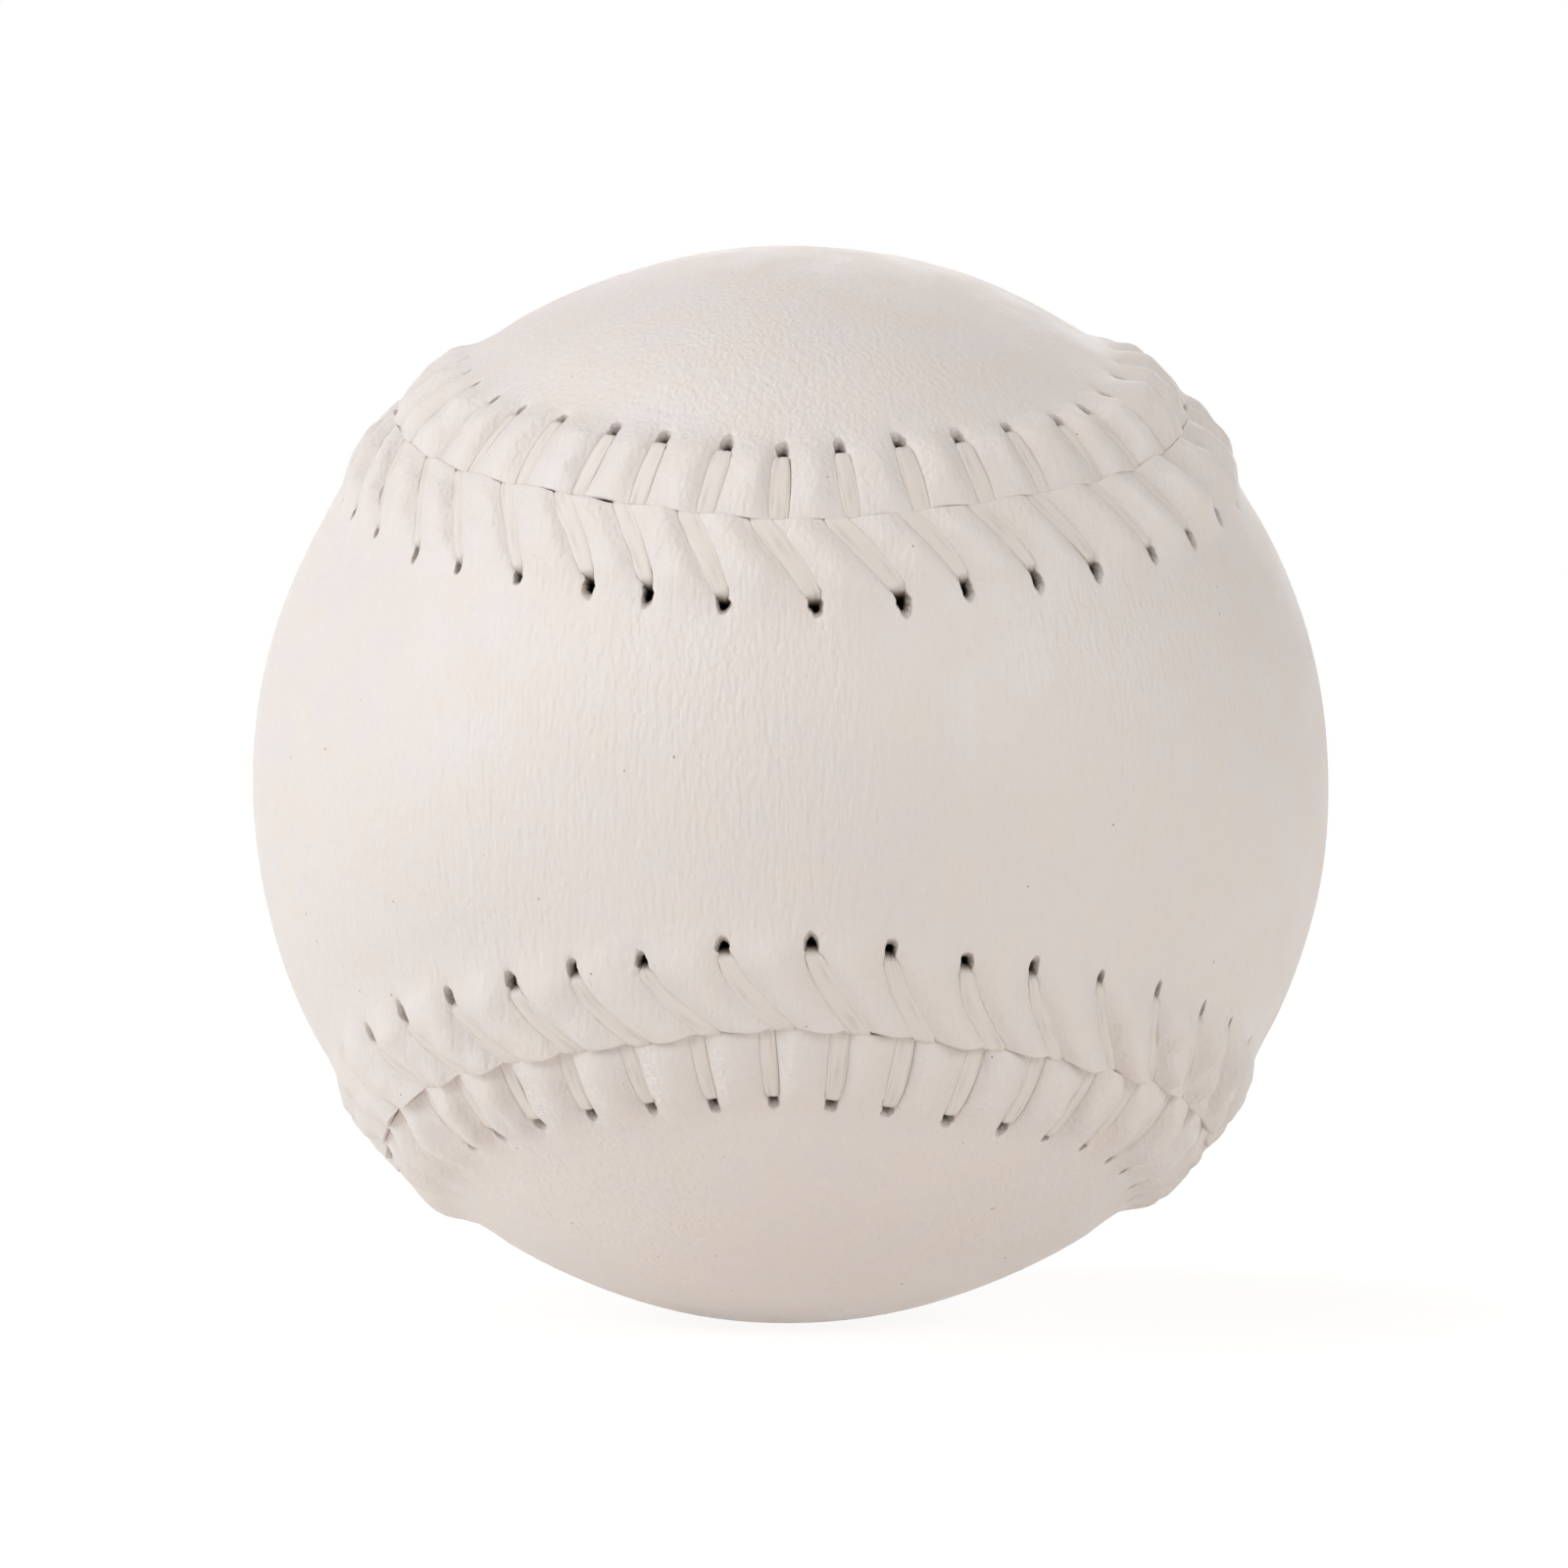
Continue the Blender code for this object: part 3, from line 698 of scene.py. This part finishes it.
def skin(shape, side, rim, rim_along, columns, ring_count, depth):
    """The outside or inside of the smooth leather, drawn together on the panel's middle line."""
    # the inside of the leather is painted fully dark, as shade
    soil_and_shade = 1.0 if depth else 0.0
    quarter = columns // 4
    along = seam.length * np.arange(columns) / columns
    start = unit(side.place(along, SKIN_START, 1))
    local = (np.arange(columns) - (0 if side.sign > 0 else quarter)) % columns
    from_waist = np.minimum(np.minimum(local % (2 * quarter), -local % (2 * quarter)), quarter - 1)
    lobe = np.where(local <= 2 * quarter, -1, 1)
    angle = SPINE_REACH * np.sin(from_waist / quarter * pi / 2)
    zero = np.zeros(columns)
    if side.sign > 0:
        middle = np.stack([lobe * np.sin(angle), -np.cos(angle), zero], axis=1)
    else:
        middle = np.stack([zero, np.cos(angle), lobe * np.sin(angle)], axis=1)

    def lifted(directions):
        lift = 0 if depth else SKIN_RIPPLE * skin_ripples(directions * PANEL_RADIUS)[:, None]
        return directions * (PANEL_RADIUS - depth + lift)

    rows = [shape.add(lifted(unit(blend(start, middle, ring / ring_count))), soil_and_shade)
            for ring in range(ring_count)]
    _, firsts, inverse = np.unique(lobe * from_waist, return_index=True, return_inverse=True)
    rows.append(shape.add(lifted(middle[firsts]), soil_and_shade)[inverse])

    # On the middle line some quads have a corner twice
    faces_before = len(shape.faces)
    shape.strips(np.stack(rows))
    for number in range(faces_before, len(shape.faces)):
        shape.faces[number] = list(dict.fromkeys(shape.faces[number]))
    rim_along = rim_along % seam.length
    order = np.argsort(rim_along)
    shape.bridge(rim[order], rim_along[order], rows[0], along)


def panel(name, node, side, material):
    """One leather panel as a closed shell."""
    shape = Shape()
    grid, along = band(shape, side)
    keep = np.ones((len(grid) - 1, grid.shape[1]), bool)
    for middle in GROOVE_MIDDLES:
        keep[HOLE_FIRST:HOLE_LAST, middle - HOLE_COLUMN:middle + HOLE_COLUMN] = False
    shape.strips(grid, keep)
    bottoms = hole_walls(shape, hole_rings(grid), side.hole_soil_and_shade[:, None])
    edge_bottom = edge_wall(shape, grid[0], along[0], side)
    rim, rim_along = lining(shape, side, edge_bottom, bottoms)
    skin(shape, side, grid[-1], along[-1], *SKIN_MESH, 0.0)
    skin(shape, side, rim, rim_along, *LINING_MESH, LEATHER)
    piece = shape.build(name, material)
    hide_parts(node)
    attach(piece, "root")


def leg(side, stitch):
    """A thread's sections from the bottom of a hole, over the leather and down the seam.

    Each row is: along, inset, radius, width, thickness, and soil with painted shade.
    """
    enter = side.inset[stitch] - THREAD_ENTER * side.half[stitch]
    drop_at = side.edge(side.dive[stitch]) - RIBBON / 2
    if side.sign > 0:
        drop_at = drop_at - FRONT_OVERRUN * lowness(side.dive[stitch])
    run = np.linspace(enter - RUN_FROM, drop_at + RUN_TO, OVER_SECTIONS)
    middle = side.line(stitch, run)
    slip = side.slipped(stitch, run)
    along = middle + slip / 2 / side.stretch(middle, run)
    tops = PANEL_RADIUS + side.ridge(along, run) - GROOVE + RIBBON / 2
    widths = 2 * (side.groove_half(stitch, run) + THREAD_PRESS) - np.abs(slip)

    def bend(steps, place, inset, top, width, thickness):
        return [(place, inset + aside * MM, UNDER_RADIUS if drop is None else top - drop * MM,
                 width, thickness, soil_and_shade) for aside, drop, soil_and_shade in steps]

    sections = bend(HOLE_BEND, side.line(stitch, enter), enter, tops[0],
                    HOLE_BEND_WIDTH * widths[0], HOLE_BEND_THICK * RIBBON)
    sections += [(*place, RIBBON, 0.0) for place in zip(along, run, tops, widths)]
    sections += bend(SEAM_BEND, along[-1], drop_at, tops[-1], SEAM_BEND_WIDTH * widths[-1], RIBBON)
    return np.array(sections)


def thread(name, node, sides, material):
    """A waxed thread: flat over the leather, rounder under it, unbroken, its ends tucked under the cover."""
    legs = [leg(sides[stitch % 2], stitch) for stitch in range(STITCHES)]
    lines = [sides[stitch % 2].place(*rows.T[:3]) for stitch, rows in enumerate(legs)]
    parts = []
    flip = 1
    for stitch, (points, rows) in enumerate(zip(lines, legs)):
        side = sides[stitch % 2]
        up = len(HOLE_BEND)
        down = len(rows) - len(SEAM_BEND)
        level = np.cross(unit(points), unit(points[down - 1] - points[up]))
        # Where it comes up and goes down, its width lies along the seam
        base, beside, _ = seam.at(rows[:, 0])
        along_seam = np.cross(beside, base) * side.sign
        level[:up] = along_seam[:up]
        level[down:] = along_seam[down:]
        # soil and painted shade on the thread's edge beside its crack
        edge_grime_and_shade = -side.sign * side.soil_and_shade[stitch] * side.crack[stitch] * side.loose[stitch]
        parts.append((points, level * flip, rows[:, 3:5], rows[:, 5], np.full(len(rows), edge_grime_and_shade * flip)))
        if stitch + 1 < STITCHES:
            onward = lines[stitch + 1][0] - points[-1]
            under = unit(points[-1] + onward * UNDER_SHARES) * UNDER_RADIUS
            level = np.cross(unit(under), unit(onward))
            size = np.full((len(under), 2), UNDER_THREAD)
            # under the cover the thread is painted fully dark, as shade
            parts.append((under, level * flip, size, np.ones(len(under)), np.zeros(len(under))))
            flip = -flip
    shape = Shape()
    uv = sweep(shape, *(np.concatenate(part) for part in zip(*parts)))
    piece = shape.build(name, material, uv)
    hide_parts(node)
    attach(piece, "root")


def sweep(shape, centres, sides, sizes, soils_and_shades, edge_grime_and_shade):
    """A closed tube of flat, stranded sections along a line; returns where each vertex lies on it."""
    ahead = unit(np.gradient(centres, axis=0))
    sides = unit(sides - ahead * (sides * ahead).sum(axis=1, keepdims=True))
    ups = np.cross(ahead, sides)
    run = np.concatenate([[0.0], np.cumsum(np.linalg.norm(np.diff(centres, axis=0), axis=1))])[:, None]
    turn = np.arange(SECTION_POINTS) / SECTION_POINTS
    outline = np.stack([np.cos(2 * pi * turn), np.sin(2 * pi * turn)])
    flat, thick = np.sign(outline) * np.abs(outline) ** SECTION_POWER
    strand = 1 - STRAND_VALLEY * (1 - np.abs(np.cos(pi * (STRANDS / 2 * flat + run / STRAND_LAY)))) ** 2
    out = sides[:, None] * (flat * sizes[:, :1] / 2)[..., None]
    out = out + ups[:, None] * (thick * strand * sizes[:, 1:] / 2)[..., None]
    # The sign of the edge grime and shade tells which edge it darkens
    edge = np.maximum(np.sign(edge_grime_and_shade)[:, None] * flat, 0) ** EDGE_SHADE_AND_SOIL_POWER
    # painted shade in the valleys between the strands
    stain_and_shade = EDGE_SHADE_AND_SOIL * np.abs(edge_grime_and_shade)[:, None] * edge + STRAND_SHADE * ((1 - strand) / STRAND_VALLEY) ** 2
    grid = shape.add(centres[:, None] + out, np.clip(soils_and_shades[:, None] + stain_and_shade, 0, 1))
    shape.strips(grid)
    shape.faces.append(grid[0].tolist())
    shape.faces.append(grid[-1, ::-1].tolist())
    return np.stack(np.broadcast_arrays(turn, run / UV_LENGTH), axis=-1).reshape(-1, 2)


class Nodes:
    """A tree of shader nodes built step by step."""

    def __init__(self, tree):
        self.tree = tree

    def plug(self, socket, value):
        """Links an output to an input, or sets the input's value; colours are opaque."""
        if isinstance(value, bpy.types.NodeSocket):
            self.tree.links.new(value, socket)
        else:
            socket.default_value = (*value, 1) if socket.type == "RGBA" else value

    def node(self, kind, *inputs, **settings):
        """A new node, with its settings and its first inputs."""
        node = self.tree.nodes.new(kind)
        for key, value in settings.items():
            setattr(node, key, value)
        for socket, value in zip(node.inputs, inputs):
            self.plug(socket, value)
        return node

    def feed(self, node, **inputs):
        """Plugs into a node's inputs by name."""
        for key, value in inputs.items():
            self.plug(node.inputs[key.replace("_", " ")], value)
        return node

    def math(self, operation, first, second=0.0):
        return self.node("ShaderNodeMath", first, second, operation=operation).outputs[0]

    def ramp(self, value, start, end, low=0.0, high=1.0):
        node = self.node("ShaderNodeMapRange", interpolation_type="SMOOTHSTEP")
        self.feed(node, Value=value, From_Min=start, From_Max=end, To_Min=low, To_Max=high)
        return node.outputs["Result"]


class Finish(Nodes):
    """A material with the principled shader."""

    def __init__(self, name, roughness, specular=0.4):
        self.material = bpy.data.materials.new(name)
        self.material.use_nodes = True
        super().__init__(self.material.node_tree)
        self.shader = self.tree.nodes["Principled BSDF"]
        self.feed(self.shader, Roughness=roughness, Specular_IOR_Level=specular)
        self.place = self.node("ShaderNodeTexCoord").outputs["Object"]
        self.normal = None

    def stretched(self, scale, vector=None):
        node = self.node("ShaderNodeMapping")
        return self.feed(node, Vector=vector or self.place, Scale=scale).outputs["Vector"]

    def noise(self, size, detail=2.0, vector=None, output="Fac"):
        node = self.node("ShaderNodeTexNoise")
        return self.feed(node, Vector=vector or self.place, Scale=1 / size, Detail=detail).outputs[output]

    def cells(self, size, feature="F1", vector=None):
        node = self.node("ShaderNodeTexVoronoi", feature=feature)
        return self.feed(node, Vector=vector or self.place, Scale=1 / size).outputs

    def lines(self, size, thin, vector):
        """Thin wandering lines: 1 on them, 0 beside them."""
        off = self.math("SUBTRACT", self.noise(size, 2.0, vector), 0.5)
        return self.ramp(self.math("ABSOLUTE", off), 0.0, thin, 1.0, 0.0)

    def warped(self, vector, size, amount):
        """Places pushed about by a noise, which breaks up what is too regular."""
        push = self.noise(size, 1.0, output="Color")
        node = self.node("ShaderNodeVectorMath", push, (amount,) * 3, vector, operation="MULTIPLY_ADD")
        return node.outputs["Vector"]

    def mix(self, share, first, second):
        node = self.node("ShaderNodeMix", data_type="RGBA")
        for number, value in ((0, share), (6, first), (7, second)):
            self.plug(node.inputs[number], value)
        return node.outputs[2]

    def attribute(self, name):
        return self.node("ShaderNodeAttribute", attribute_name=name).outputs["Fac"]

    def bump(self, height, depth, strength=1.0):
        """Adds a bump of a depth in metres on top of the ones before."""
        node = self.feed(self.node("ShaderNodeBump"), Height=height, Distance=depth, Strength=strength)
        if self.normal is not None:
            self.feed(node, Normal=self.normal)
        self.normal = node.outputs["Normal"]

    def done(self, color, **inputs):
        self.feed(self.shader, Base_Color=color, Normal=self.normal, **inputs)
        return self.material


# Colours
LEATHER_COOL = (0.800, 0.735, 0.705)
LEATHER_WARM = (0.820, 0.740, 0.680)
LEATHER_PALE = (0.835, 0.760, 0.715)
# paler lines on the finest folds: painted glints
LEATHER_FOLD_GLINT = (0.92, 0.86, 0.83)
LEATHER_SPECK = (0.16, 0.13, 0.11)
# soil and painted shade in cracks, holes, cut edges and inside the leather
SHADE_AND_DIRT_DARK = (0.045, 0.033, 0.024)
SHADE_AND_DIRT_FIBRE = (0.36, 0.30, 0.25)
THREAD_DARK = (0.755, 0.683, 0.628)
THREAD_PALE = (0.845, 0.766, 0.704)
# soil and painted shade on the thread
THREAD_DIRT_AND_SHADE = (0.10, 0.075, 0.055)
CORK_DARK = (0.26, 0.14, 0.07)
CORK_PALE = (0.50, 0.31, 0.16)
CORK_PORE = (0.10, 0.06, 0.04)
YARN_DARK = (0.36, 0.35, 0.33)
YARN_PALE = (0.70, 0.68, 0.62)
YARN_FUZZ = (0.62, 0.60, 0.55)
CEMENT_DARK = (0.20, 0.14, 0.08)
CEMENT_PALE = (0.34, 0.25, 0.14)
WHITE = (1.0, 1.0, 1.0)


def leather_finish():
    finish = Finish("white_leather", 0.5)
    grain_place = finish.warped(finish.stretched((1.0, 1.0, 0.5)), 0.5 * MM, 0.25 * MM)
    streak_place = finish.stretched((1.0, 1.0, 0.13))

    warm = finish.ramp(finish.noise(5 * MM, 3.0), 0.35, 0.65)
    tone = finish.mix(warm, LEATHER_COOL, LEATHER_WARM)
    tone = finish.mix(finish.ramp(finish.noise(17 * MM), 0.3, 0.7, 0.0, 0.5), tone, LEATHER_PALE)
    speck = finish.ramp(finish.noise(0.5 * MM, 0.0), 0.895, 0.91, 0.0, 0.7)
    tone = finish.mix(speck, tone, LEATHER_SPECK)
    # the finest fold lines: bumped, and painted paler as glints
    fold_lines_and_glints = finish.lines(0.6 * MM, 0.10, finish.stretched((0.7, 0.7, 1.3)))
    fold_lines_and_glints = finish.math("MULTIPLY", fold_lines_and_glints, finish.ramp(finish.attribute("crease"), 0.0, 0.5))
    tone = finish.mix(fold_lines_and_glints, tone, LEATHER_FOLD_GLINT)
    # soil and painted shade, dark with paler fibres, where the mark says
    patches = finish.ramp(finish.noise(0.35 * MM, 3.0), 0.25, 0.6, 0.55, 1.0)
    fibres = finish.ramp(finish.cells(0.4 * MM, "DISTANCE_TO_EDGE")["Distance"], 0.02, 0.2)
    dirt_and_shade = finish.mix(fibres, SHADE_AND_DIRT_DARK, SHADE_AND_DIRT_FIBRE)
    color = finish.mix(finish.math("MULTIPLY", finish.attribute("soil_and_shade"), patches), tone, dirt_and_shade)

    finish.bump(finish.cells(0.42 * MM, "SMOOTH_F1", grain_place)["Distance"], 0.08 * MM)
    finish.bump(finish.noise(0.5 * MM, 3.0, streak_place), 0.12 * MM, 0.8)
    finish.bump(finish.noise(2.0 * MM, 3.0), 0.06 * MM, 0.4)
    finish.bump(fold_lines_and_glints, 0.05 * MM)
    return finish.done(color, Roughness=finish.ramp(finish.noise(5 * MM), 0.3, 0.7, 0.42, 0.54))


def thread_finish():
    finish = Finish("waxed_thread", 0.45)
    run = finish.node("ShaderNodeUVMap", uv_map="run").outputs["UV"]
    fibres = finish.noise(1.0, 3.0, finish.stretched((45.0, 2.0, 1.0), run))
    tone = finish.mix(fibres, THREAD_DARK, THREAD_PALE)
    finish.bump(fibres, 0.04 * MM, 0.5)
    # soil and painted shade on the thread, where the mark says
    return finish.done(finish.mix(finish.attribute("soil_and_shade"), tone, THREAD_DIRT_AND_SHADE))


def cork_finish():
    finish = Finish("pressed_cork", 0.85, 0.2)
    granules = finish.cells(3.2 * MM)
    tone = finish.mix(finish.ramp(granules["Color"], 0.2, 0.8), CORK_DARK, CORK_PALE)
    finish.bump(granules["Distance"], 0.4 * MM, 0.6)
    return finish.done(finish.mix(finish.ramp(finish.noise(0.8 * MM, 3.0), 0.55, 0.75), tone, CORK_PORE))


def yarn_finish():
    finish = Finish("wound_yarn", 0.9, 0.2)
    wave = finish.node("ShaderNodeTexWave", bands_direction="DIAGONAL")
    finish.feed(wave, Vector=finish.place, Scale=1 / (9 * MM), Distortion=4.0, Detail=2.0)
    tone = finish.mix(wave.outputs["Fac"], YARN_DARK, YARN_PALE)
    finish.bump(wave.outputs["Fac"], 0.6 * MM, 0.7)
    return finish.done(finish.mix(finish.noise(0.7 * MM, 3.0), tone, YARN_FUZZ))


def cement_finish():
    finish = Finish("latex_cement", 0.5)
    color = finish.mix(finish.noise(6 * MM, 4.0), CEMENT_DARK, CEMENT_PALE)
    finish.bump(finish.noise(1.6 * MM), 0.2 * MM, 0.6)
    return finish.done(color, Roughness=finish.ramp(finish.noise(3 * MM), 0.3, 0.7, 0.35, 0.6))


# Photograph, in pixels of its 1600 by 1600 frame
IMAGE_SIDE = 1600
BALL_PIXELS = 552.7  # mean radius of the ball's outline
BALL_RIGHT = 7.0  # its centre, right of the image's middle
BALL_RADIUS = 48.5 * MM  # what that outline measures on the real ball
CAMERA_RADII = 8.0  # camera's distance in radii of the ball
CAMERA_ELEVATION = radians(-1.35)
CLIP_START = 0.01
SENSOR = 36.0


def camera():
    data = bpy.data.cameras.new("camera")
    focal_pixels = BALL_PIXELS * sqrt(CAMERA_RADII ** 2 - 1)
    data.sensor_width = SENSOR
    data.lens = focal_pixels / IMAGE_SIDE * SENSOR
    data.shift_x = -BALL_RIGHT / IMAGE_SIDE
    data.clip_start = CLIP_START
    item = linked("camera", data)
    distance = CAMERA_RADII * BALL_RADIUS
    item.location = (0, -distance * cos(CAMERA_ELEVATION), distance * sin(CAMERA_ELEVATION))
    item.rotation_euler = (pi / 2 - CAMERA_ELEVATION, 0, 0)
    bpy.context.scene.camera = item


WORLD_STRENGTH = 0.105
WORLD_COLOR = (1.0, 0.995, 0.99)
FLOOR_HALF = 6.0
FLOOR_COLOR = (0.82, 0.79, 0.76)
FLOOR_GLOW = 0.187  # a light table: the floor's own light
FLOOR_GLOW_COLOR = (1.0, 0.97, 0.93)
FLOOR_WHITE_NEAR = 0.7  # share of plain white that the camera sees at the ball
FLOOR_WHITE = 1.15  # makes up for the rest, which is darker
FLOOR_NEAR = 0.03
FLOOR_FAR = 0.16  # from here on it is all white
# Soft boxes: place, diameter, watts and colour
LAMPS = {
    "left": ((-0.70, -0.22, 0.32), 0.45, 1.45, (1.0, 0.88, 0.90)),
    "left_low": ((-0.72, -0.20, 0.08), 0.25, 0.92, (0.58, 0.90, 1.0)),
    "front_left": ((-0.42, -0.62, 0.34), 0.35, 1.14, WHITE),
    "top": ((-0.35, -0.15, 0.68), 0.50, 1.76, (1.0, 0.99, 1.0)),
    "right": ((0.54, -0.50, 0.26), 0.40, 1.84, (0.97, 1.0, 1.0)),
    "rim": ((0.74, 0.05, 0.22), 0.40, 0.30, WHITE),
    "back": ((0.15, 0.75, 0.35), 0.60, 1.25, WHITE),
}


def seen_white(nodes, lit, white_kind, share, strength):
    """A shader that is lit as usual, but mixed with white where the camera, a mirror or glass sees it."""
    path = nodes.node("ShaderNodeLightPath").outputs
    seen = nodes.math("MAXIMUM", path["Is Camera Ray"], path["Is Glossy Ray"])
    seen = nodes.math("MAXIMUM", seen, path["Is Transmission Ray"])
    white = nodes.feed(nodes.node(white_kind), Color=WHITE, Strength=strength)
    share = nodes.math("MULTIPLY", seen, share)
    return nodes.node("ShaderNodeMixShader", share, lit, white.outputs[0]).outputs[0]


def floor_finish():
    material = bpy.data.materials.new("light_table")
    material.use_nodes = True
    tree = material.node_tree
    tree.nodes.remove(tree.nodes["Principled BSDF"])
    nodes = Nodes(tree)
    matt = nodes.feed(nodes.node("ShaderNodeBsdfDiffuse"), Color=FLOOR_COLOR)
    glow = nodes.feed(nodes.node("ShaderNodeEmission"), Color=FLOOR_GLOW_COLOR, Strength=FLOOR_GLOW)
    both = nodes.node("ShaderNodeAddShader", matt.outputs[0], glow.outputs[0])
    place = nodes.node("ShaderNodeTexCoord").outputs["Object"]
    away = nodes.node("ShaderNodeVectorMath", place, operation="LENGTH").outputs["Value"]
    share = nodes.ramp(away, FLOOR_NEAR, FLOOR_FAR, FLOOR_WHITE_NEAR)
    shown = seen_white(nodes, both.outputs[0], "ShaderNodeEmission", share, FLOOR_WHITE)
    nodes.feed(tree.nodes["Material Output"], Surface=shown)
    return material


def studio():
    world = bpy.data.worlds.new("studio")
    bpy.context.scene.world = world
    world.use_nodes = True
    nodes = Nodes(world.node_tree)
    background = nodes.feed(world.node_tree.nodes["Background"], Color=WORLD_COLOR, Strength=WORLD_STRENGTH)
    shown = seen_white(nodes, background.outputs[0], "ShaderNodeBackground", 1.0, 1.0)
    nodes.feed(world.node_tree.nodes["World Output"], Surface=shown)

    for name, (place, size, power, color) in LAMPS.items():
        light = bpy.data.lights.new(name, "AREA")
        light.shape = "DISK"
        light.size = size
        light.energy = power
        light.color = color
        lamp = linked(name, light)
        lamp.location = place
        lamp.rotation_euler = (-Vector(place)).to_track_quat("-Z", "Y").to_euler()

    mesh = bpy.data.meshes.new("floor")
    corners = [(x * FLOOR_HALF, y * FLOOR_HALF, 0) for x, y in ((-1, -1), (1, -1), (1, 1), (-1, 1))]
    mesh.from_pydata(corners, [], [(0, 1, 2, 3)])
    mesh.materials.append(floor_finish())
    floor = linked("floor", mesh)
    floor.location = (0, 0, -PANEL_RADIUS)


def dress(node, material):
    """Gives a node that stays its finish."""
    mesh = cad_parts[node].data
    mesh.materials.clear()
    mesh.materials.append(material)


leather = leather_finish()
waxed = thread_finish()
panel("front_panel_leather", "front_cover_panel", FRONT, leather)
panel("rear_panel_leather", "rear_cover_panel", REAR, leather)
thread("first_thread_waxed", "thread_one", (FRONT, REAR), waxed)
thread("second_thread_waxed", "thread_two", (REAR, FRONT), waxed)
dress("cork_center", cork_finish())
dress("yarn_winding", yarn_finish())
dress("cement_coat", cement_finish())
camera()
studio()
bpy.context.scene.view_settings.view_transform = "Standard"
